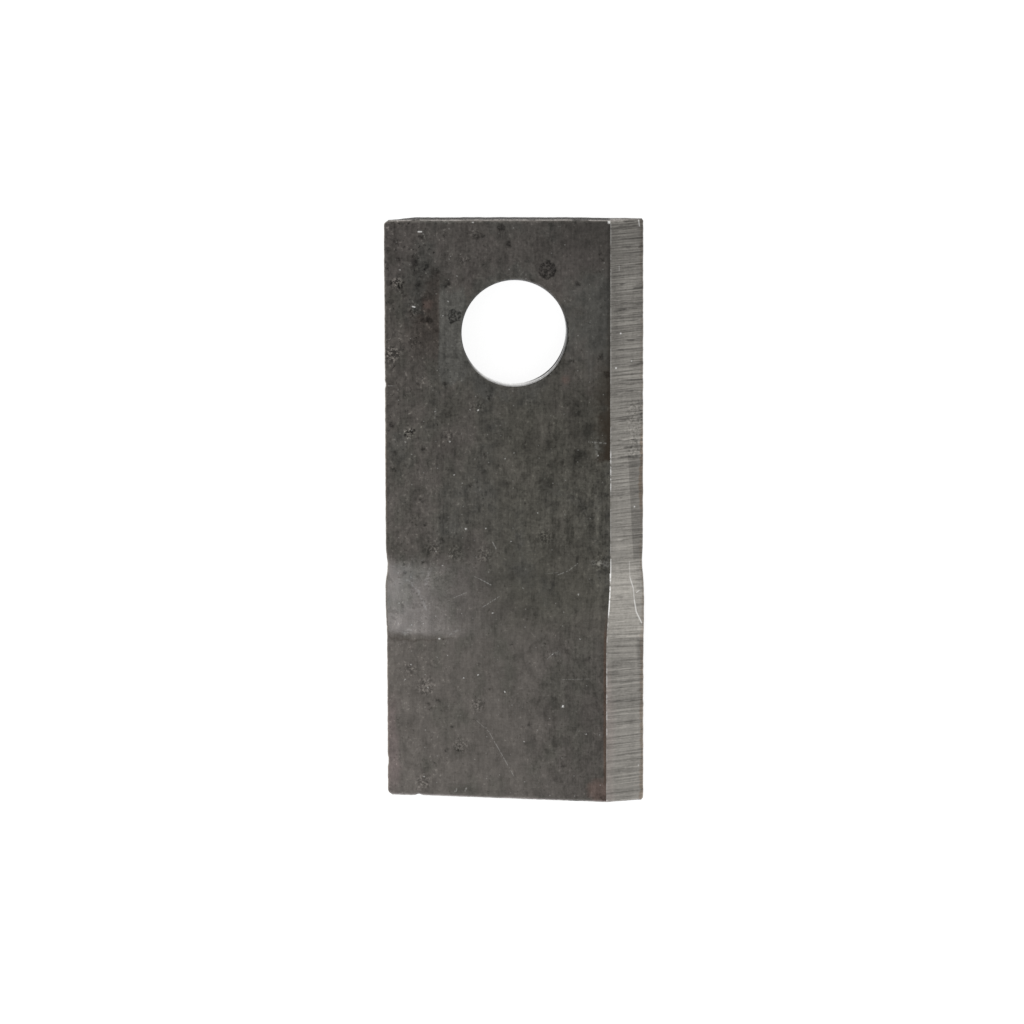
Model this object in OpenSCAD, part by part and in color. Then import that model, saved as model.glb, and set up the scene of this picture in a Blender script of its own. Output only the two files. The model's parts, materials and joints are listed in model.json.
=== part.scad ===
// Rotary mower blade: a flat bar of hardened spring steel with a round bolt
// hole near one end, a twist towards the other end, and both long edges ground
// to a single bevel, one on each face, so that the blade can be turned over
// when its first edge is dull. Lengths are in millimetres, angles in degrees.
// The blade lies as it comes to rest: +Z is up, +Y points to the hole end and
// +X to the edge whose bevel is on top. The origin is the centre of the hole.

/* [Bar] */
// Width of the bar, from one cutting edge to the other
bar_w = 48; // [36:0.5:60]
// Thickness of the bar
bar_t = 4; // [3:0.1:6]
// Length of the blade, from the hole end to the tip
blade_l = 109; // [95:0.5:140]
// Radius of the cropped end corners, seen from above
corner_r = 0.6; // [0.3:0.1:2.5]

/* [Bolt hole] */
// Diameter of the bolt hole
hole_d = 19.5; // [12:0.1:30]
// Distance from the hole's centre to the hole end
hole_to_end = 21; // [17:0.5:30]
// Width of the broken edge round each rim of the hole
rim_w = 0.15; // [0.1:0.05:0.8]

/* [Cutting edges] */
// Width of each ground bevel across the bar
bevel_w = 6.2; // [3:0.1:12]
// Thickness left along each cutting edge
land_t = 0.6; // [0.2:0.1:1.5]

/* [Twist] */
// Angle by which the tip is turned against the hole end
twist_angle = 14; // [4:0.5:25]
// Distance from the hole's centre to where the twist starts
twist_start = 41.5; // [30:0.5:60]
// Length of bar that the twist takes up
twist_l = 17.5; // [10:0.5:40]
// How softly the twist starts and ends: 0 is a crease, 1 is fully eased
twist_ease = 0.5; // [0:0.05:1]

/* [Hidden] */
hole_to_tip = blade_l - hole_to_end;
edge_x = bar_w / 2;
heel_x = edge_x - bevel_w;
face_z = bar_t / 2;
// Turn of the hole end on a level floor, where the blade lies on the low edge
// of its hole end and on the heel of the lower bevel at its tip
rest_turn = atan(
    (face_z * (1 - cos(twist_angle)) - heel_x * sin(twist_angle))
    / (edge_x + heel_x * cos(twist_angle) - face_z * sin(twist_angle)));
// Cross-sections along the twist, and angle between those round a corner
twist_slices = 20;
corner_step = 30;
// Width of the strips that the faces are laid out in, so that the twist is smooth
strip_w = 4;
$fn = 96;

// Points from one corner of the section up to the next, which it leaves out
function run(from, to, width) =
    let (strips = ceil(width / strip_w))
    [for (i = [0 : strips - 1]) from + (to - from) * i / strips];

// Cross-section of the bar with its edges cut back. One half is the land, the
// bevel and the face behind it, and the other half is that half turned over
function section(cut) =
    let (
        edge_low = [edge_x - cut, -face_z],
        edge_top = [edge_x - cut, land_t - face_z + cut * (bar_t - land_t) / bevel_w],
        heel = [heel_x, face_z],
        half = concat([edge_low], run(edge_top, heel, bevel_w), run(heel, -edge_low, bar_w))
    )
    concat(half, -half);

// Turn of the bar at y, counted from the hole end
function turn_at(y) =
    let (
        share = min(max((-y - twist_start) / twist_l, 0), 1),
        eased = share * share * (3 - 2 * share)
    )
    twist_angle * (share + twist_ease * (eased - share));

// Depth that the rounded end corners take off the edges at y
function cut_at(y) =
    let (
        to_end = min(hole_to_end - y, hole_to_tip + y),
        into_corner = max(corner_r - to_end, 0)
    )
    corner_r - sqrt(corner_r * corner_r - into_corner * into_corner);

// Places of the cross-sections, from the hole end to the tip
stations = concat(
    [for (a = [90 : -corner_step : 0]) hole_to_end - corner_r * (1 - sin(a))],
    [for (i = [0 : twist_slices]) -twist_start - twist_l * i / twist_slices],
    [for (a = [0 : corner_step : 90]) corner_r * (1 - sin(a)) - hole_to_tip]
);

// The bar with its bevels, corners and twist, its ends closed by fans of faces
module bar() {
    rings = [for (y = stations)
        let (turn = turn_at(y))
        [for (p = section(cut_at(y)))
            [p.x * cos(turn) - p.y * sin(turn), y, p.x * sin(turn) + p.y * cos(turn)]]];
    count = len(rings[0]);
    last = len(rings) - 1;
    hole_end = len(rings) * count;
    tip = hole_end + 1;
    faces = [for (j = [0 : count - 1])
        let (k = (j + 1) % count)
        each concat(
            [[hole_end, j, k], [tip, last * count + k, last * count + j]],
            [for (i = [0 : last - 1])
                let (near = i * count, far = near + count)
                each [[near + j, far + j, far + k], [near + j, far + k, near + k]]]
        )];
    end_centres = [[0, hole_to_end, 0], [0, -hole_to_tip, 0]];
    polyhedron(concat([for (ring = rings) each ring], end_centres), faces);
}

// Through hole for the bolt, with a broken edge at each face
module bolt_hole() {
    cylinder(d = hole_d, h = 2 * bar_t, center = true);
    for (side = [0, 1]) mirror([0, 0, side])
        translate([0, 0, face_z - rim_w])
            cylinder(d1 = hole_d, d2 = hole_d + 4 * rim_w, h = 2 * rim_w);
}

// The whole blade, one piece of steel, turned to lie level
module blade() {
    color([0.30, 0.29, 0.29])
    rotate([0, -rest_turn, 0])
    difference() {
        bar();
        bolt_hole();
    }
}

blade();
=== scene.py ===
import json
import math

import bpy
from mathutils import Matrix, Vector


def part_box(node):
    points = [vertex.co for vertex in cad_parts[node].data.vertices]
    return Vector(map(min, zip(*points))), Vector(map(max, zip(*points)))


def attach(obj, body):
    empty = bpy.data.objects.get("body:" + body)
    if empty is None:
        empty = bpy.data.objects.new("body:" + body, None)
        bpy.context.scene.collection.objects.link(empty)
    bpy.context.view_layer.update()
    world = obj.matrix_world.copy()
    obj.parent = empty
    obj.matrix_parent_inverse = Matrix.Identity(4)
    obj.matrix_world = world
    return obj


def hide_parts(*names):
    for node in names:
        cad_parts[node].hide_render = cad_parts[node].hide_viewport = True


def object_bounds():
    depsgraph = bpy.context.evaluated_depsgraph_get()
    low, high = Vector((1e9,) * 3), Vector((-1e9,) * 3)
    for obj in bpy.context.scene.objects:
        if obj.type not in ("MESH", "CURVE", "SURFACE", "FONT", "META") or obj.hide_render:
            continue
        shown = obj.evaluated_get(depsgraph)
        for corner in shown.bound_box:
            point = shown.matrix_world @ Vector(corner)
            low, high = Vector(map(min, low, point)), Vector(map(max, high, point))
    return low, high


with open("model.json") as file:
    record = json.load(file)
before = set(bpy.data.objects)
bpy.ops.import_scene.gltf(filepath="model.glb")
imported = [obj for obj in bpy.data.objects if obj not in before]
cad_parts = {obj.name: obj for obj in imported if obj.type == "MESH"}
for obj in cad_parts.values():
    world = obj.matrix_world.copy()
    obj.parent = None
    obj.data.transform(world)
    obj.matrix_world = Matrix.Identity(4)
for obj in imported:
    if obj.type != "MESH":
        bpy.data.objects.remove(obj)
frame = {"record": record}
cad_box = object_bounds()
bpy.context.scene.view_settings.view_transform = "Standard"


# Faces of the blade: hot-rolled spring steel strip, hardened in oil. Rolling and
# hardening leave a dark scale on it, streaked along the bar, pitted where scale
# was pressed in, stained brown in places and scratched by handling.


class Field:
    """A number that varies over the blade, held by a node's socket. Sums on it add Math nodes."""

    def __init__(self, tree, socket):
        self.tree = tree
        self.socket = socket

    def work(self, operation, *others):
        made = self.tree.nodes.new("ShaderNodeMath")
        made.operation = operation
        for target, value in zip(made.inputs, (self, *others)):
            plug(self.tree, value, target)
        return Field(self.tree, made.outputs[0])

    def __add__(self, other):
        return self.work("ADD", other)

    def __sub__(self, other):
        return self.work("SUBTRACT", other)

    def __mul__(self, other):
        return self.work("MULTIPLY", other)

    def __truediv__(self, other):
        return self.work("DIVIDE", other)

    def __neg__(self):
        return self.work("MULTIPLY", -1.0)

    def __rsub__(self, other):
        return -self + other

    def __abs__(self):
        return self.work("ABSOLUTE")

    __radd__ = __add__
    __rmul__ = __mul__


def plug(tree, value, target):
    """Link a field or a socket to a node's input, or set the input to a plain value."""
    if isinstance(value, Field):
        value = value.socket
    if isinstance(value, bpy.types.NodeSocket):
        tree.links.new(value, target)
    else:
        target.default_value = value


def add(tree, kind, inputs, **settings):
    """Put a node in a tree with these properties and inputs."""
    made = tree.nodes.new(kind)
    for name, value in settings.items():
        setattr(made, name, value)
    for name, value in inputs.items():
        plug(tree, value, made.inputs[name])
    return made


def ramp(value, low, high, kind="SMOOTHSTEP"):
    """0 up to low, 1 from high on, and a soft rise between them."""
    inputs = {"Value": value, "From Min": low, "From Max": high}
    made = add(value.tree, "ShaderNodeMapRange", inputs, interpolation_type=kind, clamp=kind == "LINEAR")
    return Field(value.tree, made.outputs["Result"])


def within(value, low, high, soft):
    """1 between low and high, 0 outside, with soft borders of this width."""
    return ramp(value, low - soft, low + soft) * (1.0 - ramp(value, high - soft, high + soft))


def parts_of(tree, vector):
    """The three numbers of a vector as fields."""
    made = add(tree, "ShaderNodeSeparateXYZ", {"Vector": vector})
    return [Field(tree, out) for out in made.outputs]


def vector_of(tree, x, y, z):
    """A vector from three fields or numbers."""
    return add(tree, "ShaderNodeCombineXYZ", {"X": x, "Y": y, "Z": z}).outputs[0]


def vector_work(tree, operation, *values):
    """The outcome of a Vector Math node."""
    made = tree.nodes.new("ShaderNodeVectorMath")
    made.operation = operation
    for target, value in zip(made.inputs, values):
        plug(tree, value, target)
    single = operation in ("LENGTH", "DISTANCE", "DOT_PRODUCT")
    return made.outputs["Value"] if single else made.outputs[0]


def shaded(tree, colour, tone):
    """A colour made lighter or darker by a field, or a vector made longer or shorter."""
    start = colour[:3] if isinstance(colour, tuple) else colour
    made = add(tree, "ShaderNodeVectorMath", {0: start, "Scale": tone}, operation="SCALE")
    return made.outputs[0]


def grain(tree, place, waves, seed, detail=2.0):
    """Noise about 0 on the bar, with so many waves to the millimetre across, along and through it."""
    scaled = vector_work(tree, "MULTIPLY", place, waves)
    moved = vector_work(tree, "ADD", scaled, (seed * 17.3, seed * 5.9, seed * 3.1))
    noise = add(tree, "ShaderNodeTexNoise", {"Vector": moved, "Scale": 1.0, "Detail": detail})
    return Field(tree, noise.outputs[0]) - 0.5


def blend(tree, share, first, second):
    """A colour that goes from the first to the second by share."""
    made = tree.nodes.new("ShaderNodeMix")
    made.data_type = "RGBA"
    plug(tree, share, made.inputs["Factor"])
    plug(tree, first, made.inputs[6])
    plug(tree, second, made.inputs[7])
    return made.outputs[2]


def spots(tree, place, marks, soft):
    """1 in each round mark (across, along, radius), 0 outside, with a border of this softness."""
    nearest = None
    for across, along, radius in marks:
        away = Field(tree, vector_work(tree, "DISTANCE", place, (across, along, 0.0))) - radius
        nearest = away if nearest is None else nearest.work("MINIMUM", away)
    return 1.0 - ramp(nearest, -soft, soft)


def strokes(tree, place, marks, soft):
    """1 on each straight mark (across and along at both ends, half width), 0 outside."""
    nearest = None
    for x0, y0, x1, y1, width in marks:
        run = Vector((x1 - x0, y1 - y0, 0.0))
        arm = vector_work(tree, "SUBTRACT", place, (x0, y0, 0.0))
        share = Field(tree, vector_work(tree, "DOT_PRODUCT", arm, tuple(run / run.length_squared)))
        foot = shaded(tree, tuple(run), share.work("MAXIMUM", 0.0).work("MINIMUM", 1.0))
        away = Field(tree, vector_work(tree, "DISTANCE", arm, foot)) - width
        nearest = away if nearest is None else nearest.work("MINIMUM", away)
    return 1.0 - ramp(nearest, -soft, soft)


def finish(name):
    """A new material, with its tree, its shader and the place on the bar in millimetres."""
    material = bpy.data.materials.new(name)
    material.use_nodes = True
    tree = material.node_tree
    place = add(tree, "ShaderNodeAttribute", {}, attribute_name="bar_place").outputs["Vector"]
    return material, tree, tree.nodes["Principled BSDF"], place


def dress(tree, shader, colour, roughness, relief):
    """Give a finish its colour, its roughness and its relief, in millimetres."""
    plug(tree, colour, shader.inputs["Base Color"])
    plug(tree, roughness, shader.inputs["Roughness"])
    bump = add(tree, "ShaderNodeBump", {"Height": relief, "Strength": 1.0, "Distance": MM})
    plug(tree, bump.outputs["Normal"], shader.inputs["Normal"])


MM = 0.001

# Marks on the upper face, in millimetres from the centre of the hole, across
# and along the bar, with their radius or half their width. The underside has
# most of them too, laid end for end.
end_for_end = 67.0
hole_rim = 9.9
scale_pits = [
    (6.1, 11.6, 1.65), (-11.2, 3.2, 1.25),
]
dark_spots = [
    (-22.6, 9.2, 0.5), (-21.0, 9.3, 0.7), (-17.8, 9.2, 0.65), (-12.5, 9.1, 0.75),
    (-18.1, 13.0, 0.55), (-16.4, 12.6, 0.65), (-14.2, 11.6, 0.5), (-21.8, 17.2, 0.4),
    (-21.3, 13.6, 0.5), (-17.2, 17.9, 0.35), (-6.9, 17.8, 0.55), (-5.8, 17.9, 0.45),
    (-0.9, 16.5, 0.6), (-2.4, 19.5, 0.8), (15.9, 14.4, 0.4), (16.2, 13.4, 0.5), (11.8, 8.9, 0.5),
    (17.0, 6.0, 0.3), (-15.8, 2.3, 0.7), (-18.5, -1.7, 0.4), (-12.7, -9.5, 0.45),
    (-17.7, -9.4, 0.35), (-4.7, -12.1, 0.4), (10.3, -5.4, 0.25), (11.0, -5.4, 0.25),
    (15.8, -4.8, 0.6), (17.2, -7.9, 0.7), (-22.7, -17.0, 0.45), (-19.2, -18.2, 0.5),
    (-19.9, -18.9, 0.5), (-17.0, -21.6, 0.5), (-22.2, -22.3, 0.5), (-22.4, -25.3, 0.5),
    (-12.4, -25.4, 0.4), (-8.3, -28.6, 0.35), (-7.2, -27.8, 0.3), (-5.5, -22.8, 0.35),
    (-17.3, -31.1, 0.3), (-16.5, -35.6, 0.3), (-13.6, -38.7, 0.5), (-20.4, -43.4, 0.45),
    (-20.4, -45.0, 0.4), (-17.1, -42.8, 0.35), (-20.8, -51.4, 0.3), (4.2, -52.9, 0.3),
    (-6.4, -62.3, 0.25), (-4.1, -67.3, 0.3), (-14.2, -69.6, 0.3), (-16.2, -70.3, 0.3),
    (3.3, -73.6, 0.35), (-11.6, -74.7, 0.35), (-10.4, -79.1, 0.4), (-12.6, -79.0, 0.25),
    (9.5, -81.4, 0.3), (-0.3, -58.5, 0.3), (14.5, -61.0, 0.4), (17.2, -87.4, 0.45),
]
crumb_patches = [
    (-22.6, -3.8, 1.3), (-21.6, 9.3, 1.0), (-19.6, -18.5, 0.9),
]
light_crumbs = [
    (-6.8, -70.3, 1.1), (-17.2, -85.2, 1.2), (-16.6, -67.0, 1.6), (-19.5, -64.0, 1.0),
    (-10.0, -78.0, 1.2), (-9.3, 13.5, 0.9), (-7.5, 18.6, 0.7), (-18.6, 4.2, 0.9),
    (-15.2, -40.3, 1.2), (-5.6, -41.5, 1.4), (-11.2, -41.2, 1.2), (15.8, -43.4, 1.1),
    (5.5, -38.2, 1.2), (-12.2, -19.0, 0.9), (-6.9, -13.6, 0.9),
]
# Pale specks of bare metal; the last, at the heel's top corner, is a painted highlight.
pale_specks_and_glint = [
    (-7.6, 20.5, 0.1), (-21.1, 11.8, 0.06), (-11.7, 14.2, 0.03), (-10.6, 10.6, 0.01),
    (-1.0, 11.8, 0.01), (-12.2, 5.9, 0.05), (-13.2, 3.2, 0.06), (-6.8, -14.4, 0.1),
    (-8.2, -14.3, 0.03), (-12.1, -20.2, 0.08), (-14.7, -14.6, 0.04), (-20.2, -20.2, 0.04),
    (-1.8, -23.5, 0.06), (-0.1, -22.5, 0.04), (-11.3, -26.5, 0.06), (-9.7, -28.0, 0.03),
    (-9.1, -36.6, 0.12), (-5.4, -36.6, 0.06), (-14.7, -40.8, 0.05), (-0.7, -39.1, 0.02),
    (4.2, -33.8, 0.04), (15.5, -23.1, 0.06), (-13.4, -43.5, 0.03), (12.1, -49.0, 0.08),
    (1.7, -47.9, 0.01), (7.9, -50.7, 0.03), (-3.8, -52.7, 0.08), (9.4, -54.8, 0.04),
    (-14.0, -57.9, 0.12), (12.8, -57.1, 0.04), (-19.4, -63.0, 0.08), (-20.6, -65.9, 0.06),
    (-16.2, -67.3, 0.08), (-12.4, -61.0, 0.04), (-9.3, -65.2, 0.05), (-6.6, -64.5, 0.08),
    (-1.5, -67.6, 0.1), (-17.0, -84.3, 0.06), (9.6, -70.0, 0.16), (7.6, -60.2, 0.06),
    (2.2, -76.9, 0.05), (14.0, -75.1, 0.05), (17.7, 20.5, 0.4),
]
scratches = [
    (-7.0, -73.1, -4.5, -75.3, 0.02), (-4.5, -75.3, 0.3, -83.7, 0.05),
    (-6.3, -46.2, -4.3, -47.3, 0.08), (-7.4, -45.7, -6.3, -46.2, 0.03),
    (8.1, -45.4, 10.0, -44.7, 0.07), (10.0, -44.7, 11.8, -43.3, 0.06),
    (5.7, -45.2, 8.1, -45.0, 0.02), (-5.7, -51.5, -2.7, -49.5, 0.06),
    (-11.2, -49.8, -8.9, -48.8, 0.03), (13.8, -20.5, 17.0, -20.8, 0.08),
    (-23.8, -9.7, -22.3, -9.7, 0.08), (-4.1, -39.2, -3.5, -40.4, 0.09),
    (9.4, -64.9, 14.5, -64.6, 0.02), (-11.0, -86.9, -10.7, -86.4, 0.16),
    (-9.1, -86.7, -8.9, -86.2, 0.13), (-13.8, -2.4, -10.3, -2.4, 0.0),
    (6.6, -61.1, 7.9, -59.9, 0.03),
]
smears = [
    (-15.7, -44.2, -16.4, -47.0, 0.2), (-19.8, -46.4, -18.0, -48.4, 0.2),
    (-18.0, -48.4, -16.4, -52.0, 0.2), (-19.1, -42.3, -17.1, -42.3, 0.1),
    (-20.8, -57.2, -19.5, -56.5, 0.3), (-12.1, -57.0, -10.2, -56.0, 0.15),
    (15.0, -20.0, 15.4, -23.5, 0.3), (14.8, -43.2, 17.2, -43.6, 0.5),
    (-14.7, -14.0, -14.8, -15.8, 0.1), (7.2, -60.4, 8.8, -59.8, 0.2),
]
crease = [
    (-23.2, -58.0, -19.7, -58.4, 0.2), (-19.7, -58.4, -15.5, -58.2, 0.2),
    (-15.5, -58.2, -11.4, -57.7, 0.12),
]
# Patches of painted shade, deeper and lighter, and patches of painted light, across, along and radius.
deep_shade_patches = [
    (11.5, -14.5, 1.8), (12.6, -19.0, 2.2), (12.0, -23.0, 2.0), (5.8, -28.4, 1.8),
    (7.4, -25.4, 1.2), (3.0, -21.0, 1.8), (7.0, -20.5, 1.4),
]
shade_patches = [
    (-12.0, -21.0, 2.2), (7.3, -40.0, 2.6), (12.9, -40.0, 2.0), (-15.5, -39.5, 2.6),
    (-21.0, -40.0, 1.6), (-9.5, -40.0, 1.6), (-3.5, -46.0, 2.0), (-9.5, -52.0, 2.2),
    (-3.5, -52.0, 2.2), (2.0, -52.5, 2.4), (7.3, -71.3, 2.4), (12.9, -71.0, 2.0),
    (-15.0, 10.0, 2.2),
]
light_patches = [
    (1.5, -84.0, 3.0), (-4.0, -84.0, 2.0), (13.2, -8.0, 2.0), (12.9, -52.5, 2.6), (7.3, -52.5, 1.6),
    (-15.0, -46.5, 2.0), (-15.0, -8.5, 2.0), (-9.5, -8.5, 1.6), (12.5, -59.0, 1.6),
]
stain_gaps = [
    (16.4, -14.2, 0.8), (15.2, -21.8, 0.9),
]
rust_marks = [
    (16.2, -85.7, 2.0), (17.2, -87.2, 1.0), (-16.1, 5.2, 0.9), (9.4, -8.9, 0.6),
]
flake_marks = [
    (-17.7, 18.85, -17.1, 18.85, 0.1), (-18.8, 5.0, -18.4, 4.9, 0.1),
]

mid_grey = (0.115, 0.1085, 0.0945, 1.0)
cool_grey = (0.1115, 0.1085, 0.0985, 1.0)
plum_grey = (0.1175, 0.1055, 0.0980, 1.0)
olive_grey = (0.114, 0.1085, 0.0905, 1.0)
warm_grey = (0.118, 0.1070, 0.0960, 1.0)
oil_and_shade_brown = (0.048, 0.036, 0.0255, 1.0)
rust_brown = (0.130, 0.092, 0.072, 1.0)
scale_brown = (0.110, 0.0915, 0.0785, 1.0)
rosy_grey = (0.142, 0.118, 0.111, 1.0)
rusty_grey = (0.158, 0.117, 0.101, 1.0)
pale_metal_and_glint = (0.92, 0.91, 0.88, 1.0)

rolling_scale, tree, shader, place = finish("rolling_scale")
across, along, height = parts_of(tree, place)
upper = ramp(height, 0.0, 0.1)
facing = upper * 2.0 - 1.0
mark_across = across * facing
mark_along = along * facing - (1.0 - upper) * end_for_end
flat = vector_of(tree, mark_across, mark_along, 0.0)
shift_far = grain(tree, place, (1.0, 1.0, 9.0), 11, 3.0)
shift_side = grain(tree, place, (1.0, 1.0, 9.0), 12, 3.0)
ragged = vector_of(tree, mark_across + shift_side * 1.3, mark_along + shift_far * 1.3, 0.0)

clouds = grain(tree, place, (0.12, 0.07, 9.0), 1)
veils = grain(tree, place, (0.36, 0.22, 9.0), 2)
streaks = grain(tree, place, (1.5, 0.09, 9.0), 3)
threads = grain(tree, place, (4.0, 0.6, 9.0), 4)
mottle = grain(tree, place, (0.8, 0.65, 9.0), 5, 4.0)
grit = grain(tree, place, (2.2, 2.0, 9.0), 6, 3.0)
sand = grain(tree, place, (4.6, 4.2, 9.0), 7)
combed = grain(tree, place, (0.35, 3.2, 9.0), 8)
islands = grain(tree, place, (0.55, 0.4, 9.0), 9, 4.0)

hole_end = ramp(along, -32.0, -4.0)
tip_end = ramp(-along, 44.0, 62.0)
left_side = 1.0 - ramp(across, -19.0, -9.0)
brown_band = ramp(across + veils * 2.0, -21.5, -17.0) * (1.0 - ramp(across + veils * 0.5, -14.3, -13.6))
brown_band = brown_band * within(along + veils * 4.0, -3.5, 10.5, 4.0) * (0.85 + mottle * 1.6)
cool_band = within(across, -13.9, -9.2, 0.5) * within(along + veils * 4.0, -8.0, 8.0, 2.0)
cool_side = within(across + veils * 2.0, 9.0, 17.2, 0.8) * within(along + veils * 5.0, -7.0, 11.0, 3.0)
from_centre = vector_work(tree, "LENGTH", vector_of(tree, across, along, 0.0))
from_rim = Field(tree, from_centre) - hole_rim
halo = (1.0 - ramp(from_rim + veils * 12.0, 1.0, 5.0)) * ramp(across, -14.0, -13.6)
halo = halo * (1.0 - ramp(across, 2.0, 9.0))
cool_band = cool_band + cool_side * 0.6
dark_top = within(across, 7.0, 17.8, 1.5) * ramp(along + veils * 5.0, 14.0, 16.5)
warmth = clouds * 0.6 + veils * 0.4 + left_side * 0.07 + brown_band * 0.3 + tip_end * 0.12
olive_zone = ramp(across + veils * 8.0, -8.0, 2.0) * within(along + veils * 8.0, -54.0, -12.0, 6.0)
hue = blend(tree, ramp(warmth, -0.03, 0.14), mid_grey, warm_grey)
hue = blend(tree, olive_zone * 0.7, hue, olive_grey)
hue = blend(tree, ramp(along + veils * 12.0, 5.0, 13.0) * 0.6, hue, plum_grey)
hue = blend(tree, brown_band * 0.7, hue, scale_brown)
coolness = cool_band * 0.25 + halo * 0.1 - clouds * 0.45 - mottle * 0.2 - tip_end * 0.1
hue = blend(tree, ramp(coolness, 0.0, 0.16), hue, cool_grey)

blot_depth = 0.15 + left_side * 0.08 + hole_end * 0.05 - tip_end * 0.05
blots = ramp(mottle + islands * 0.4, 0.08, 0.14) * blot_depth
peaks = ramp(grit, 0.12, 0.2)
holes = ramp(-grit, 0.12, 0.2)
strewn = ramp(islands + left_side * 0.05, 0.0, 0.12)
grained = streaks * 0.62 + threads * 0.45 + mottle * 0.85 + combed * 0.26 + grit * 0.75 + sand * 0.4
grained = grained + ramp(islands, -0.03, 0.02) * 0.2 - 0.1
right_half = ramp(across, -2.0, 10.0) * ramp(-along, 10.0, 24.0)
lively = 1.0 - ramp(-along, 38.0, 48.0) * 0.42 + right_half * 0.35
lively = lively - ramp(across, 8.0, 11.0) * ramp(along, -9.0, -4.0) * 0.3
tone = 1.08 + clouds * 0.3 + veils * 0.7 + grained * lively
tone = tone * (1.0 - spots(tree, ragged, shade_patches, 2.2) * (0.16 + mottle * 0.6))
tone = tone * (1.0 - spots(tree, ragged, deep_shade_patches, 1.6) * (0.36 + mottle * 1.4))
tone = tone * (1.0 + spots(tree, ragged, light_patches, 2.0) * 0.15)
cross_dashes = ramp(grain(tree, place, (0.7, 6.0, 9.0), 13), 0.1, 0.2)
long_dashes = ramp(grain(tree, place, (6.0, 0.9, 9.0), 14), 0.1, 0.2)
dashes = cross_dashes + long_dashes
# Painted light and shade: the face is darker towards the right and towards the hole end, and lighter over
# the twisted tip, more on its left than on its right.
tone = tone * (1.0 - across * 0.0049) * (0.94 - hole_end * 0.115 + tip_end * 0.09) * (1.0 - blots)
tone = tone * (1.0 + tip_end * (0.12 - ramp(across, -22.0, 2.0) * 0.10 - ramp(across, 2.0, 17.0) * 0.17))
tone = tone * (1.0 - brown_band * 0.26) * (1.0 + cool_band * 0.3 + halo * 0.05) * (1.0 - dark_top * 0.12)
# Painted highlight along the face's edge at the hole end.
tone = tone * (1.0 + ramp(along + grit * 0.5, 20.2, 21.0) * 1.1)
# Painted shade: a dark line along the rim of the hole on its lower right, broken in places.
rim_shade = (1.0 - ramp(from_rim + grit * 0.8, 0.12, 0.3)) * ramp(across - along, 4.0, 9.0)
tone = tone * (1.0 - rim_shade * 0.65)
rough_side = 1.0 + hole_end * left_side * 1.5
tone = tone * (1.0 + strewn * rough_side * (peaks * 0.45 - holes * 0.3) + dashes * 0.14)
scabs = ramp(along, -10.0, 0.0) * left_side * ramp(islands + mottle * 0.5, 0.03, 0.12)
tone = tone * (1.0 - scabs * 0.24)

marked = spots(tree, ragged, dark_spots, 0.32)
pit_floors = [(x, y, radius - 0.45) for x, y, radius in scale_pits]
ringed = upper * spots(tree, ragged, scale_pits, 0.12) - upper * spots(tree, ragged, pit_floors, 0.25)
pitted = upper * spots(tree, ragged, scale_pits, 0.15)
crumbled = upper * spots(tree, ragged, crumb_patches, 0.5)
crumb_tone = ramp(grit + sand * 0.6, -0.1, 0.14)
tone = tone * (1.0 - marked * (0.58 - crumb_tone * 0.3)) * (1.0 - ringed * 0.3)
sprinkled = spots(tree, ragged, light_crumbs, 0.8)
tone = tone * (1.0 + sprinkled * (crumb_tone * 0.75 - 0.28))
tone = tone * (1.0 - pitted * (0.62 - crumb_tone * 0.55)) * (1.0 - crumbled * (0.45 - crumb_tone * 1.9))
band = within(across + shift_side * 0.6, 14.8, 15.7, 0.3) * within(along, -46.0, -14.0, 3.0)
band = band + within(across + shift_side * 0.8, 14.5, 16.7, 0.4) * within(along, -61.0, -46.0, 2.5) * 0.9
olive_side = ramp(across, 12.0, 15.0) * within(along + veils * 6.0, -46.0, -25.0, 2.0)
tone = tone * (1.0 + olive_side * 0.06)
# Painted shade: a darker strip on the face beside the heel, from the twist to the hole end.
heel_shade = within(across, 17.25, 17.9, 0.15) * ramp(along + veils * 8.0, -26.0, -16.0)
tone = tone * (1.0 + band * 0.2) * (1.0 - heel_shade * 0.2)
colour = shaded(tree, hue, tone)

stained = ramp(across + shift_side * 3.0 + veils * 4.0, 13.8, 17.4)
stained = stained * ramp(along + veils * 2.0, -24.5, -23.7)
stained = stained * ramp(-along + mottle * 8.0, -2.0, 20.0)
stained = stained * (1.0 - spots(tree, ragged, stain_gaps, 0.7) * 0.8)
colour = blend(tree, upper * stained * 0.9, colour, oil_and_shade_brown)
heel_rust = ramp(-along + veils * 12.0, 52.0, 58.0) * ramp(across + shift_side * 0.3, 17.15, 17.45)
rust_spots = spots(tree, ragged, rust_marks, 0.7)
colour = blend(tree, upper * heel_rust * 0.9, colour, shaded(tree, rust_brown, tone))
colour = blend(tree, upper * rust_spots * 0.85, colour, shaded(tree, rusty_grey, tone * 1.12))
rosy = within(along, -86.5, -70.0, 3.0) * ramp(veils * 3.0 - across, 21.3, 22.6)
colour = blend(tree, upper * rosy * 0.8, colour, shaded(tree, rosy_grey, tone * 1.07))
# Painted shade in the crease where the twist begins: a thin dark line along it.
crease_shade = upper * strokes(tree, ragged, crease, 0.14)
colour = blend(tree, crease_shade * 0.25, colour, oil_and_shade_brown)

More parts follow.
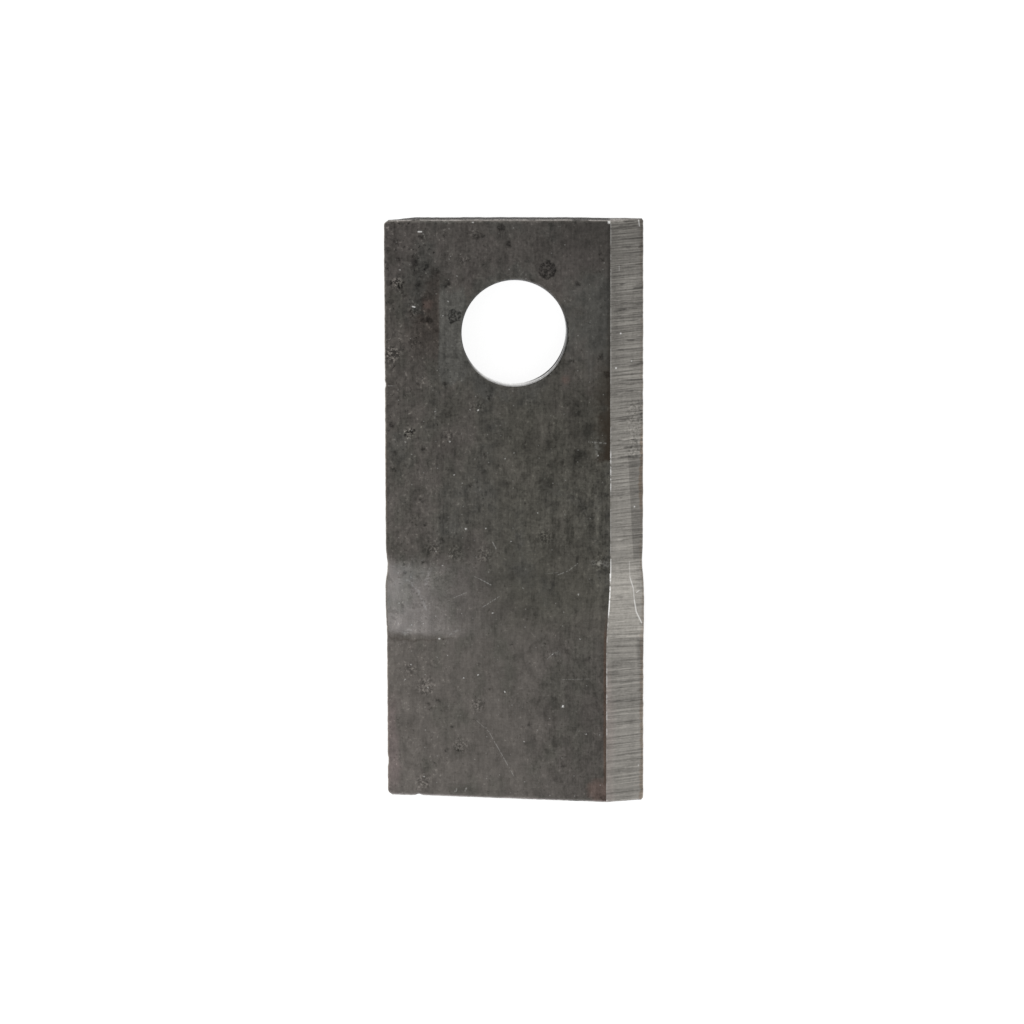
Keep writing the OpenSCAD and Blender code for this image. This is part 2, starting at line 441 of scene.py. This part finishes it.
scored = strokes(tree, flat, scratches, 0.09) * ramp(threads + sand, -0.16, 0.06)
smeared = strokes(tree, ragged, smears, 0.32) * ramp(grit, -0.12, 0.08)
flecks = add(tree, "ShaderNodeTexVoronoi", {"Vector": place, "Scale": 0.42}, voronoi_dimensions="2D")
fleck_away = Field(tree, flecks.outputs["Distance"])
fleck_kind = parts_of(tree, flecks.outputs["Color"])[0]
fleck = (1.0 - ramp(fleck_away, 0.01, 0.07)) * ramp(fleck_kind, 0.7, 1.0)
chipped = vector_of(tree, mark_across + sand * 0.7, mark_along + grit * 0.5, 0.0)
specked = spots(tree, chipped, pale_specks_and_glint, 0.14)
flakes = strokes(tree, flat, flake_marks, 0.1)
specked = specked.work("MAXIMUM", flakes)
bare_and_glint = (scored * 0.25).work("MAXIMUM", specked).work("MAXIMUM", fleck * 0.24)
bare_and_glint = bare_and_glint.work("MAXIMUM", smeared * 0.09)
colour = blend(tree, bare_and_glint, colour, pale_metal_and_glint)

roughness = 0.4 + mottle * 0.25 + grit * 0.25 + pitted * 0.15
relief = mottle * 0.025 + grit * 0.02 + sand * 0.008 + threads * 0.006 - blots * 0.04
dress(tree, shader, colour, roughness, relief)
shader.inputs["Metallic"].default_value = 0.9


# Cutting edges: one bevel on each face, ground across the bar after hardening,
# so they are bright, with lines across them, and a little brown on the edge.
bright_grey = (0.300, 0.285, 0.260, 1.0)
edge_brown = (0.234, 0.193, 0.156, 1.0)
bare_steel_and_glint = (0.95, 0.94, 0.92, 1.0)
# Scratches on the bevel; the first mark, at the bevel's top corner, is a painted highlight.
bevel_scratches_and_glint = [
    (23.2, 20.7, 23.4, 19.4, 0.1), (21.5, -43.3, 21.6, -46.3, 0.02),
    (21.6, -46.3, 22.2, -48.2, 0.07), (22.2, -48.2, 22.4, -50.3, 0.05),
    (22.4, -50.3, 22.8, -52.4, 0.09), (22.8, -52.4, 23.8, -54.4, 0.09),
    (22.8, -49.0, 23.3, -48.7, 0.06), (19.5, 12.2, 19.5, 11.3, 0.03),
]
bevel_specks = [
    (19.8, -0.4, 0.14), (21.9, -5.7, 0.08), (22.5, -33.1, 0.12), (23.4, -81.2, 0.08),
    (18.9, -6.8, 0.15),
]
ground_steel, tree, shader, place = finish("ground_steel")
across, along, height = parts_of(tree, place)
outward = abs(across)
upper = ramp(across, 0.0, 1.0)
slant = 0.03 - ramp(-along, 26.0, 46.0) * 0.05 + ramp(-along, 56.0, 68.0) * 0.08
sway = grain(tree, place, (0.2, 0.3, 0.0), 9) * 0.15
slanted = vector_of(tree, across, along - across * slant + sway, 0.0)
lines = grain(tree, slanted, (0.04, 1.7, 0.0), 1, 3.0)
fine_lines = grain(tree, slanted, (0.1, 4.8, 0.0), 2)
cuts = grain(tree, slanted, (0.03, 0.9, 0.0), 3, 1.0)
bright_cuts = grain(tree, slanted, (0.04, 1.1, 0.0), 10, 1.0)
fine_cuts = grain(tree, slanted, (0.06, 2.3, 0.0), 4, 1.0)
bands = grain(tree, place, (0.6, 0.03, 0.0), 5)
dust = grain(tree, place, (2.8, 2.8, 0.0), 6)
drift = grain(tree, place, (0.12, 0.1, 0.0), 7)
patchy = grain(tree, place, (0.4, 0.5, 0.0), 8)
cut_lines = (1.0 - ramp(abs(cuts), 0.005, 0.05)) * ramp(patchy, -0.06, 0.1)
bright_lines = (1.0 - ramp(abs(bright_cuts), 0.005, 0.05)) * ramp(-patchy, -0.04, 0.1)
fine_cut_lines = (1.0 - ramp(abs(fine_cuts), 0.005, 0.07)) * ramp(-patchy, -0.1, 0.1)
worked = ramp(outward, 17.9, 20.0) * 0.5 + 0.5
calm_twist = 1.0 - within(along, -58.0, -45.0, 3.0) * 0.35
calm_twist = calm_twist + ramp(along, -36.0, -16.0) * 0.3
ground = (lines + fine_lines * 1.25) * worked * calm_twist
tone = 1.0 + ground + bands * 0.5 + dust * 0.5 + drift * 0.4 + patchy * 0.3
worn_tip = 1.0 - ramp(-along, 66.0, 78.0) * 0.45
cut_depth = cut_lines * 0.4 * worked * worn_tip * calm_twist
tone = tone * (1.0 - cut_depth) * (1.0 - fine_cut_lines * 0.24) * (1.0 + bright_lines * 0.3)
crumbed = within(along, -23.5, -13.5, 1.0) * ramp(outward + drift * 3.0, 20.4, 21.6)
tone = tone * (1.0 + crumbed * (ramp(dust, 0.05, 0.15) * 0.2 - ramp(-dust, 0.05, 0.15) * 0.32))
second_pass = within(along + lines, -43.0, -23.5, 0.8) * ramp(outward + along * 0.055, 19.85, 20.05)
dark_patch = ramp(outward + drift, 22.7, 23.4) * within(along, -61.3, -57.0, 0.6)
tone = tone * (1.0 - second_pass * 0.28) * (1.0 - dark_patch * 0.3)
# Painted light: the bevel is darker at the hole end and lighter towards the tip, with a painted highlight
# along its top end, and a darker and a lighter band where the twist ends.
tone = tone * (0.72 + ramp(-along, -20.0, 4.0) * 0.28 + ramp(-along, 0.0, 34.0) * 0.21)
dull_edge = ramp(outward, 22.4, 23.8) * ramp(along, -10.0, 2.0)
tone = tone * (1.0 + ramp(-along, 56.0, 66.0) * 0.07 - dull_edge * 0.12)
tone = tone * (1.0 + ramp(along + dust * 0.6, 20.0, 21.0) * 0.45 + ramp(along, -6.0, 4.0) * 0.06)
tone = tone * (1.0 - within(along, -55.5, -49.5, 1.5) * 0.1 + within(along, -62.0, -55.5, 1.5) * 0.13)
colour = shaded(tree, bright_grey, tone)
edge_zone = 0.45 + within(along, -34.0, -19.0, 2.0) * 0.5 + ramp(-along, 54.0, 62.0) * 0.35
browned = ramp(outward + lines + drift * 1.2, 23.4, 23.8) * edge_zone
colour = blend(tree, browned, colour, shaded(tree, edge_brown, tone))
heel_bright = within(along, -29.5, -22.5, 0.6) * 0.85 + within(along, -52.5, -42.4, 0.8) * 1.1
heel_bright = heel_bright + 0.2 + within(along, -76.0, -52.0, 2.0) * 0.4
flushed = (1.0 - ramp(outward + drift * 3.0, 18.3, 19.6)) * ramp(-along + bands * 20.0, 60.0, 66.0) * 0.35
colour = blend(tree, upper * flushed, colour, shaded(tree, rosy_grey, tone * 2.4))
heel_gaps = grain(tree, place, (0.0, 0.45, 0.0), 11, 4.0)
heel_gaps = heel_gaps + within(along, -52.5, -42.4, 1.0) * 0.08 - ramp(-along, 52.0, 56.0) * 0.06
heel_glint = within(outward, 17.6, 17.98, 0.1) * ramp(heel_gaps + dust * 0.5, -0.12, 0.06) * heel_bright
flat = vector_of(tree, across, along, 0.0)
scored = upper * strokes(tree, flat, bevel_scratches_and_glint, 0.09) * 0.5
specked = upper * spots(tree, flat, bevel_specks, 0.12)
bare_and_glint = (upper * heel_glint).work("MAXIMUM", scored).work("MAXIMUM", specked)
colour = blend(tree, bare_and_glint, colour, bare_steel_and_glint)
roughness = 0.34 + lines * 0.2 + fine_lines * 0.15
relief = lines * 0.012 + fine_lines * 0.005 - cut_lines * 0.006
dress(tree, shader, colour, roughness, relief)
shader.inputs["Metallic"].default_value = 1.0


# Ends of the blade: cropped from the strip in a shear, which leaves a burnished
# band and a torn one below it, dark from the hardening, with a painted highlight along the upper arris.
shear_grey = (0.100, 0.094, 0.088, 1.0)
glint_grey = (0.50, 0.47, 0.44, 1.0)
cropped_steel, tree, shader, place = finish("cropped_steel")
across, along, height = parts_of(tree, place)
drag = grain(tree, place, (2.4, 2.4, 0.25), 1, 3.0)
tear = grain(tree, place, (2.0, 2.0, 1.6), 2, 3.0)
gaps = grain(tree, place, (0.35, 0.0, 0.0), 3, 3.0)
torn = ramp(drag * 1.5 - height, -0.4, 0.2)
tone = 1.0 + drag * 1.1 + torn * tear * 1.2 - torn * 0.25
# Painted highlight: a bright band along the upper arris, broken in places, and over the end past the heel
# corner.
corner = ramp(height + drag * 0.4, 1.65, 1.85) * ramp(gaps, -0.2, -0.05)
corner = corner.work("MAXIMUM", ramp(across, 17.4, 18.2) * 0.8)
colour = blend(tree, corner * 0.9, shaded(tree, shear_grey, tone), shaded(tree, glint_grey, tone))
dress(tree, shader, colour, 0.5 + torn * 0.2 + drag * 0.2, drag * 0.03 + torn * tear * 0.08)
plug(tree, corner * 0.6, shader.inputs["Metallic"])
shader.inputs["Specular IOR Level"].default_value = 0.1


# Bolt hole: punched through the strip. Its wall is darker towards the top and along its
# lower edge on the lower right, with a painted reflection on its tip side, and the bolt has rubbed it in
# places.
bore_grey = (0.19, 0.188, 0.185, 1.0)
bore_steel, tree, shader, place = finish("bore_steel")
across, along, height = parts_of(tree, place)
rubbed = grain(tree, place, (1.3, 1.3, 0.5), 1, 3.0)
rings = grain(tree, place, (0.3, 0.3, 4.0), 2)
tone = (1.0 + rubbed * 1.4 + rings * 0.6) * (1.35 - ramp(height, -1.5, 1.6) * 0.7)
lower_right = ramp(across + rubbed * 4.0, 0.5, 6.0) * ramp(-along + rubbed * 4.0, -1.0, 5.0)
# Painted reflection of the white surroundings: the wall is much lighter on its tip side, and a little
# lighter on its lower right.
tone = tone * (1.0 + ramp(-along, 4.0, 9.0) * 2.6 + lower_right * 0.25)
dark_lower_lip = lower_right * (1.0 - ramp(height + rubbed * 0.8, -0.5, 0.0))
tone = tone * (1.0 - dark_lower_lip * 0.8)
colour = shaded(tree, bore_grey, tone)
dress(tree, shader, colour, 0.36 + rubbed * 0.3, rubbed * 0.03 + rings * 0.01)
plug(tree, 1.0 - dark_lower_lip * 0.7 - lower_right * 0.3, shader.inputs["Metallic"])
shader.inputs["Specular IOR Level"].default_value = 0.0


# The blade: one piece of strip with a hole punched near one end, its two edges
# ground on opposite faces, and the far part twisted so that it lifts the grass.
bolt_hole = frame["record"]["mounts"][0]
hole_axis = Vector(bolt_hole["axis"])
low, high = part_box("blade")
blade_sizes = {
    "Bar width": 48.0,
    "Bar thickness": 4.0,
    "Hole to end": high.y / MM,
    "Hole to tip": -low.y / MM,
    "Corner radius": 0.85,
    "Hole radius": bolt_hole["dims"]["r_mm"],
    "Rim width": 0.15,
    "Hole wear": 0.17,
    "Bevel width": 6.2,
    "Land": 0.6,
    "Heel rounding": 0.15,
    "Edge break": 0.15,
    "Twist angle": math.radians(14.0),
    "Twist start": 40.9,
    "Twist length": 18.1,
    "Soft start": 3.0,
    "Soft end": 1.2,
    "Crease lean": 0.06,
    "Neck depth": 0.33,
    "Edge burr": 0.15,
    "End skew": -0.007,
    "End shear": 0.03,
    "Edge wear": 0.2,
    "Waviness": 0.06,
    "Pit depth": 0.06,
    "Rest turn": -math.atan2(hole_axis.x, hole_axis.z),
}
neck_into_twist = 2.8
neck_half_length = 4.0
edge_nicks = [(-24.0, -9.5, 0.5), (-24.0, -81.5, 0.8)]
nick_depth = 0.15
tip_chips = [(-18.1, -88.0, 0.5)]
chip_depth = 0.25
wear_reach = 1.2
rim_roll = 0.05
end_drag = 0.06
weld_distance = 0.002
sharp_angle = math.radians(50.0)
tree = bpy.data.node_groups.new("blade_from_strip", "GeometryNodeTree")
inputs = {}
for name, value in blade_sizes.items():
    inputs[name] = tree.interface.new_socket(name=name, in_out="INPUT", socket_type="NodeSocketFloat")
    inputs[name].default_value = value
tree.interface.new_socket(name="Blade", in_out="OUTPUT", socket_type="NodeSocketGeometry")
given = tree.nodes.new("NodeGroupInput")
size = {name: Field(tree, given.outputs[name]) for name in blade_sizes}


def named(name, kind="FLOAT"):
    """An attribute stored earlier in the blade's tree."""
    made = add(tree, "GeometryNodeInputNamedAttribute", {"Name": name}, data_type=kind)
    return Field(tree, made.outputs["Attribute"])


def store(geometry, name, value, kind="FLOAT", selection=True):
    """Keep a value on the points of the blade's mesh."""
    given = {"Geometry": geometry, "Selection": selection, "Name": name, "Value": value}
    made = add(tree, "GeometryNodeStoreNamedAttribute", given, data_type=kind, domain="POINT")
    return made.outputs["Geometry"]


def here():
    """The place of a point or face in the blade's tree, as three fields."""
    return parts_of(tree, tree.nodes.new("GeometryNodeInputPosition").outputs[0])


def put(geometry, place):
    """Move every point to a place."""
    made = add(tree, "GeometryNodeSetPosition", {"Geometry": geometry, "Position": place})
    return made.outputs["Geometry"]


def less(value, limit):
    """1 where a field is below a limit, else 0."""
    return value.work("LESS_THAN", limit)


def more(value, limit):
    """1 where a field is above a limit, else 0."""
    return value.work("GREATER_THAN", limit)


def lay_out(count, lines, cells):
    """The place of a grid line, from its number, the places of the main lines and the cells between."""
    place = lines[0]
    first = 0
    for near, far, number in zip(lines, lines[1:], cells):
        place = place + ramp(count, first, first + number, "LINEAR") * (far - near)
        first += number
    return place


edge_x = size["Bar width"] / 2
face_z = size["Bar thickness"] / 2
heel_x = edge_x - size["Bevel width"]
sheet_x = edge_x - size["Edge break"]
sheet_end = size["Hole to end"] - size["Edge break"]
sheet_tip = size["Edge break"] - size["Hole to tip"]
rim_r = size["Hole radius"] + size["Rim width"]
heel_in = heel_x - size["Heel rounding"]
heel_out = heel_x + size["Heel rounding"]
twist_end = -(size["Twist start"] + size["Twist length"])

across_lines = [-sheet_x, -heel_out, -heel_in, -rim_r, rim_r, heel_in, heel_out, sheet_x]
across_cells = [18, 2, 22, 60, 22, 2, 18]
along_lines = [
    sheet_tip,
    sheet_tip + size["Corner radius"],
    twist_end,
    -size["Twist start"],
    -rim_r,
    rim_r,
    sheet_end - size["Corner radius"],
    sheet_end,
]
along_cells = [3, 78, 50, 84, 60, 28, 3]
columns = sum(across_cells)
rows = sum(along_cells)

# One sheet of strip in the flat, its grid lines laid along the heels and the hole
grid = add(tree, "GeometryNodeMeshGrid", {
    "Size X": columns, "Size Y": rows, "Vertices X": columns + 1, "Vertices Y": rows + 1,
})
column, row, _ = here()
column = column + columns / 2
row = row + rows / 2
sheet = store(grid.outputs["Mesh"], "side", more(column, columns - 0.5) - less(column, 0.5))
sheet = store(sheet, "end", more(row, rows - 0.5) - less(row, 0.5))
sheet = put(sheet, vector_of(tree, lay_out(column, across_lines, across_cells),
                             lay_out(row, along_lines, along_cells), 0.0))

# The square of cells at the hole is taken out, and the lines round it are bent to a circle
x, y, _ = here()
square = abs(x).work("MAXIMUM", abs(y))
sheet = store(sheet, "rim", less(square, rim_r + 0.01))
taken = add(tree, "GeometryNodeDeleteGeometry",
            {"Geometry": sheet, "Selection": less(square, rim_r)}, domain="FACE")
reach = Field(tree, vector_work(tree, "LENGTH", vector_of(tree, x, y, 0.0)))
bend = 1.0 + (1.0 - ramp(square, rim_r, heel_in - 0.5)) * (square / reach.work("MAXIMUM", 0.001) - 1.0)

# The end corners are rounded and the twist's start is necked by drawing the edges in
to_end = (sheet_end - y).work("MINIMUM", y - sheet_tip)
corner = size["Corner radius"] * (0.65 - x.work("SIGN") * 0.35)
into_corner = (corner - to_end).work("MAXIMUM", 0.0)
straight = (corner * corner - into_corner * into_corner).work("SQRT")
corner_cut = (corner - straight) * ramp(abs(x), heel_out, sheet_x, "LINEAR")
from_neck = abs(y + size["Twist start"] + neck_into_twist)
neck = size["Neck depth"] * (1.0 - ramp(from_neck, 0.3, neck_half_length))
neck = neck * ramp(abs(x), 8.0, sheet_x, "LINEAR")
neck = neck * (0.75 - x.work("SIGN") * 0.25)
worn = grain(tree, vector_of(tree, x.work("SIGN") * 9.0, y, 0.0), (1.0, 0.7, 0.0), 3, 3.0)
nicks = spots(tree, vector_of(tree, x, y, 0.0), edge_nicks, 0.3) * nick_depth
worn_in = (worn * size["Edge wear"] + nicks) * ramp(abs(x), sheet_x - wear_reach, sheet_x)
drawn_in = x.work("SIGN") * (corner_cut + neck + worn_in)
end_place = vector_of(tree, x, y.work("SIGN") * 9.0, 0.0)
end_worn = grain(tree, end_place, (0.7, 1.0, 0.0), 4, 3.0) * size["Edge wear"]
at_tip = ramp(-y, size["Hole to tip"] - wear_reach, size["Hole to tip"])
at_end = ramp(y, sheet_end - wear_reach, sheet_end)
chip = spots(tree, vector_of(tree, x, y, 0.0), tip_chips, 0.4) * chip_depth
tip_cut = at_tip * (end_worn + chip + 0.1 * ramp(x, -21.0, -18.0) + 0.09 * ramp(x, 18.0, 24.0))
end_cut = at_end * (end_worn + 0.05 + 0.15 * ramp(x, 8.0, 24.0) + 0.15 * (1.0 - ramp(x, -22.5, -18.5)))
worn_hole = size["Hole wear"] * (1.0 - ramp(square, rim_r, rim_r + 4.0)) * ramp(-y, 0.0, rim_r)
sheet_y = y * bend + tip_cut - end_cut - worn_hole
sheet = put(taken.outputs["Geometry"], vector_of(tree, x * bend - drawn_in, sheet_y, 0.0))

# Walls hang from the sheet's outline and the hole in rings, and a turned sheet closes them
sheet = store(sheet, "level", 0.0)
neighbours = tree.nodes.new("GeometryNodeInputMeshEdgeNeighbors")
outline = less(Field(tree, neighbours.outputs["Face Count"]), 1.5)
wall_rings = 5
walls = sheet
for ring in range(1, wall_rings + 1):
    made = add(tree, "GeometryNodeExtrudeMesh",
               {"Mesh": walls, "Selection": outline, "Offset Scale": 0.0}, mode="EDGES")
    outline = made.outputs["Top"]
    walls = store(made.outputs["Mesh"], "level", ring / wall_rings, selection=outline)
turned = add(tree, "GeometryNodeFlipFaces", {"Mesh": store(sheet, "level", 1.0)})
joined = tree.nodes.new("GeometryNodeJoinGeometry")
tree.links.new(walls, joined.inputs[0])
tree.links.new(turned.outputs[0], joined.inputs[0])


def face_height(x, y, side):
    """Height of a face of the flat bar, with its bevel falling away past the heel, and its wear."""
    fall = (size["Bar thickness"] - size["Land"]) / size["Bevel width"]
    bevel = face_z - (x - heel_x) * fall
    sound = face_z.work("SMOOTH_MIN", bevel, size["Heel rounding"])
    place = vector_of(tree, x, y, 10.0 * side)
    wave = grain(tree, place, (0.09, 0.05, 1.0), 1) + grain(tree, place, (0.3, 0.06, 1.0), 2) * 0.3
    past_rim = Field(tree, vector_work(tree, "LENGTH", vector_of(tree, x, y, 0.0))) - rim_r
    rolled = (1.0 - ramp(past_rim, 0.0, 0.9)) * rim_roll
    to_end = (sheet_end - y).work("MINIMUM", y - sheet_tip)
    dragged = (1.0 - ramp(to_end, 0.0, 0.8)) * end_drag
    return sound + wave * size["Waviness"] - rolled - dragged


x, y, _ = here()
level = named("level")
rim = named("rim")
upper = face_height(x, y, 1.0)
pits = spots(tree, vector_of(tree, x, y, 0.0), scale_pits, 0.3)
upper = upper - pits * size["Pit depth"]
lower = -face_height(-x, y, -1.0)
edge_break = size["Edge break"] + rim * (size["Rim width"] - size["Edge break"])
on_wall = more(level, 0.01) * less(level, 0.99)
down_wall = (level * wall_rings - 1.0) / (wall_rings - 2)
wall_z = (upper - edge_break) + down_wall * (lower - upper + edge_break * 2.0)
on_top = less(level, 0.01)
on_bottom = more(level, 0.99)
z = on_top * upper + on_bottom * lower + on_wall * wall_z
bore_in = 1.0 - on_wall * rim * (size["Rim width"] / rim_r)
wall_x = x * bore_in + on_wall * named("side") * size["Edge break"]
wall_x = wall_x + size["Edge burr"] * ramp(x, heel_out + 1.0, sheet_x)
wall_y = y * bore_in + on_wall * named("end") * size["Edge break"]
out_of_square = ramp(y, rim_r, sheet_end) * (x * size["End skew"] + (face_z - z) * size["End shear"])
bar = put(joined.outputs[0], vector_of(tree, wall_x, wall_y + out_of_square, z))
bar = add(tree, "GeometryNodeMergeByDistance", {"Geometry": bar, "Distance": weld_distance}).outputs[0]
position = tree.nodes.new("GeometryNodeInputPosition").outputs[0]
bar = store(bar, "bar_place", position, "FLOAT_VECTOR")


def soft_rise(value, soft):
    """A field that stays at 0 below 0 and then rises like the value, bending up over this length."""
    bent = value.work("MAXIMUM", 0.0).work("MINIMUM", soft)
    return bent * bent / (soft * 2.0) + (value - soft).work("MAXIMUM", 0.0)


# The far part is twisted, and the whole bar turned to lie on the floor
x, y, z = here()
into_twist = -y - size["Twist start"]
twist_run = size["Twist length"] + x * size["Crease lean"]
to_right = ramp(x, -14.0, 18.0)
soft_start = size["Soft start"] * (1.0 + to_right * 1.5)
soft_end = size["Soft end"] * (1.0 + to_right * 6.0)
begun = soft_rise(into_twist, soft_start)
ended = soft_rise(into_twist - twist_run + soft_end, soft_end)
share = (begun - ended) / (twist_run - soft_start * 0.5 - soft_end * 0.5)
turn = size["Rest turn"] + size["Twist angle"] * share
twisted = add(tree, "ShaderNodeVectorRotate", {"Vector": vector_of(tree, x, y, z), "Angle": -turn},
              rotation_type="Y_AXIS")
blade_mesh = put(bar, shaded(tree, twisted.outputs[0], MM))

# Faces are smooth but for sharp edges, and each kind of surface has its own finish
smooth = add(tree, "GeometryNodeSetShadeSmooth", {"Geometry": blade_mesh}, domain="FACE")
angle = Field(tree, tree.nodes.new("GeometryNodeInputMeshEdgeAngle").outputs["Unsigned Angle"])
sharp = add(tree, "GeometryNodeSetShadeSmooth", {
    "Geometry": smooth.outputs[0], "Selection": more(angle, sharp_angle), "Shade Smooth": False,
}, domain="EDGE")
x, y, z = parts_of(tree, named("bar_place", "FLOAT_VECTOR").socket)
level = named("level")
on_wall = more(level, 0.01) * less(level, 0.99)
upper_bevel = less(level, 0.01) * more(x, heel_x)
lower_bevel = more(level, 0.99) * less(x, -heel_x)
lands = on_wall * more(abs(named("side")), 0.3)
ends = on_wall * more(abs(named("end")), 0.7)
bore = on_wall * more(named("rim"), 0.5)
zones = [
    (rolling_scale, True),
    (ground_steel, upper_bevel + lower_bevel + lands),
    (cropped_steel, ends),
    (bore_steel, bore),
]
made = add(tree, "GeometryNodeRealizeInstances", {"Geometry": sharp.outputs[0]})
for material, zone in zones:
    made = add(tree, "GeometryNodeSetMaterial",
               {"Geometry": made.outputs[0], "Selection": zone, "Material": material})
result = tree.nodes.new("NodeGroupOutput")
tree.links.new(made.outputs[0], result.inputs[0])

blade = bpy.data.objects.new("blade_body", bpy.data.meshes.new("blade_body"))
bpy.context.scene.collection.objects.link(blade)
shaped = blade.modifiers.new("shape", "NODES")
shaped.node_group = tree
for name, value in blade_sizes.items():
    shaped[inputs[name].identifier] = value
seen = blade.evaluated_get(bpy.context.evaluated_depsgraph_get())
blade.data = bpy.data.meshes.new_from_object(seen)
blade.modifiers.remove(shaped)
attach(blade, "root")
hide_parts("blade")


# Floor under the blade: a plain white sweep, which shows white to the eye and in
# the metal, and keeps a soft shadow.
floor_size = 6.0
floor_grey = (0.30, 0.30, 0.30, 1.0)
floor_glow = 0.86
half = floor_size / 2
floor_mesh = bpy.data.meshes.new("floor")
corners = [(-half, -half), (half, -half), (half, half), (-half, half)]
floor_mesh.from_pydata([(x, y, cad_box[0].z) for x, y in corners], [], [(0, 1, 2, 3)])
floor = bpy.data.objects.new("floor", floor_mesh)
bpy.context.scene.collection.objects.link(floor)
floor_white = bpy.data.materials.new("floor_white")
floor_white.use_nodes = True
tree = floor_white.node_tree
shader = tree.nodes["Principled BSDF"]
shader.inputs["Base Color"].default_value = floor_grey
shader.inputs["Roughness"].default_value = 0.9
shader.inputs["Specular IOR Level"].default_value = 0.0
rays = tree.nodes.new("ShaderNodeLightPath")
shown = Field(tree, rays.outputs["Is Camera Ray"]).work("MAXIMUM", rays.outputs["Is Glossy Ray"])
shown = shown.work("MAXIMUM", rays.outputs["Is Transmission Ray"])
shader.inputs["Emission Color"].default_value = (1.0, 1.0, 1.0, 1.0)
plug(tree, shown * floor_glow, shader.inputs["Emission Strength"])
floor.data.materials.append(floor_white)


# Studio light: a dome that is darker overhead and on the right, and soft boxes
# at the foot of the picture and at its upper right.
dome_strength = 0.8
right_dimming = 0.2
overhead_dimming = 0.22
dome = bpy.data.worlds.new("dome")
bpy.context.scene.world = dome
dome.use_nodes = True
tree = dome.node_tree
way = tree.nodes.new("ShaderNodeTexCoord").outputs["Generated"]
x, y, z = parts_of(tree, way)
strength = dome_strength - x * right_dimming - ramp(z, 0.5, 1.0) * overhead_dimming
plug(tree, strength, tree.nodes["Background"].inputs["Strength"])
tree.nodes["Background"].inputs["Color"].default_value = (1.0, 1.0, 1.0, 1.0)


def soft_box(name, place, aim, width, depth, watts, colour):
    """A soft studio lamp at a place, turned to a point."""
    lamp = bpy.data.lights.new(name, "AREA")
    lamp.shape = "RECTANGLE"
    lamp.size = width
    lamp.size_y = depth
    lamp.energy = watts
    lamp.color = colour
    box = bpy.data.objects.new(name, lamp)
    box.location = place
    box.rotation_euler = (Vector(aim) - Vector(place)).to_track_quat("-Z", "Y").to_euler()
    bpy.context.scene.collection.objects.link(box)


blade_middle = (0.0, -0.03, 0.0)
cool_white = (0.84, 0.88, 1.0)
plain_white = (1.0, 1.0, 1.0)
soft_box("foot_light", (-0.12, -0.81, 0.52), blade_middle, 0.9, 0.45, 2.3, cool_white)
soft_box("right_light", (0.74, 0.44, 0.56), blade_middle, 0.8, 0.6, 0.9, plain_white)


# Camera: almost straight above the blade, which lies with its hole end at the
# top. It stands a little towards the hole end and towards the upper bevel.
tilt = math.radians(8.35)
lean = math.radians(3.24)
roll = math.radians(0.135)
distance = 950 * MM
shift_x = 0.333 * MM
shift_y = 33.47 * MM
towards = Vector((math.cos(tilt) * math.sin(lean), math.sin(tilt), math.cos(tilt) * math.cos(lean)))
up = Vector((-math.sin(tilt) * math.sin(lean), math.cos(tilt), -math.sin(tilt) * math.cos(lean)))
right = Vector((math.cos(lean), 0.0, -math.sin(lean)))
image_x = right * math.cos(roll) - up * math.sin(roll)
image_y = right * math.sin(roll) + up * math.cos(roll)
camera = bpy.data.objects.new("camera", bpy.data.cameras.new("camera"))
camera.data.lens = 180.1
camera.data.sensor_width = 36.0
stand = Matrix((image_x, image_y, towards)).transposed().to_4x4()
stand.translation = towards * distance - image_x * shift_x - image_y * shift_y
camera.matrix_world = stand
bpy.context.scene.collection.objects.link(camera)
bpy.context.scene.camera = camera
